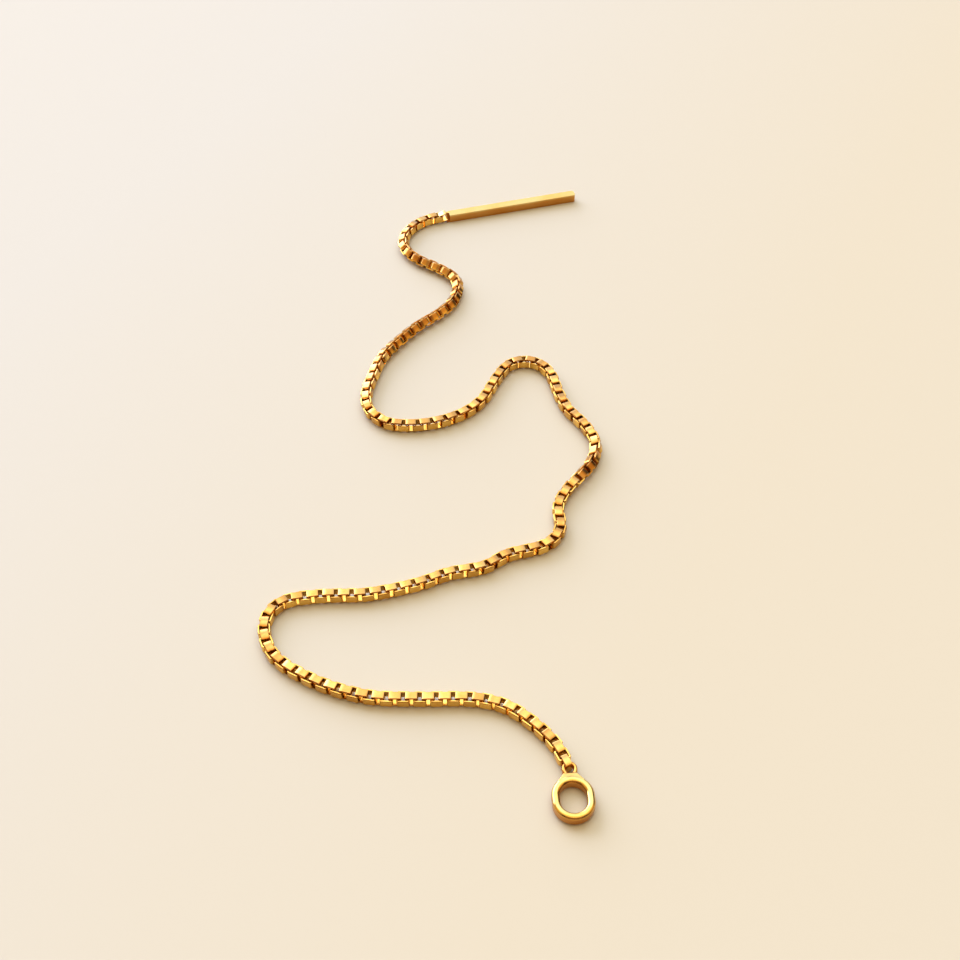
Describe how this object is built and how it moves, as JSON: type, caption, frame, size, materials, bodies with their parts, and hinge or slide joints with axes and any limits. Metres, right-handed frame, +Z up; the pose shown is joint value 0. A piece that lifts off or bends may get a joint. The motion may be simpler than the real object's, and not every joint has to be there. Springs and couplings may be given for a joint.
{
  "type": "threader earring",
  "caption": "Threader earring: a straight square post, a long fine box chain laid in loose curves, and an oval end ring with an eyelet.",
  "frame": {"origin": "middle of the outline, at the height of the table that the earring lies on", "axes": "+Y from the end ring towards the post, along the earring as laid out; +X to the right in the picture; +Z up"},
  "size_m": [0.0293, 0.0784, 0.0012],
  "materials": {
    "bar_gold": "polished yellow gold with sharp edges",
    "chain_gold": "polished yellow gold strip, darker inside the links",
    "ring_gold": "polished yellow gold with softened edges"
  },
  "bodies": {
    "root": {"post": "bar_gold", "box_chain": "chain_gold", "end_ring": "ring_gold"}
  },
  "joints": []
}
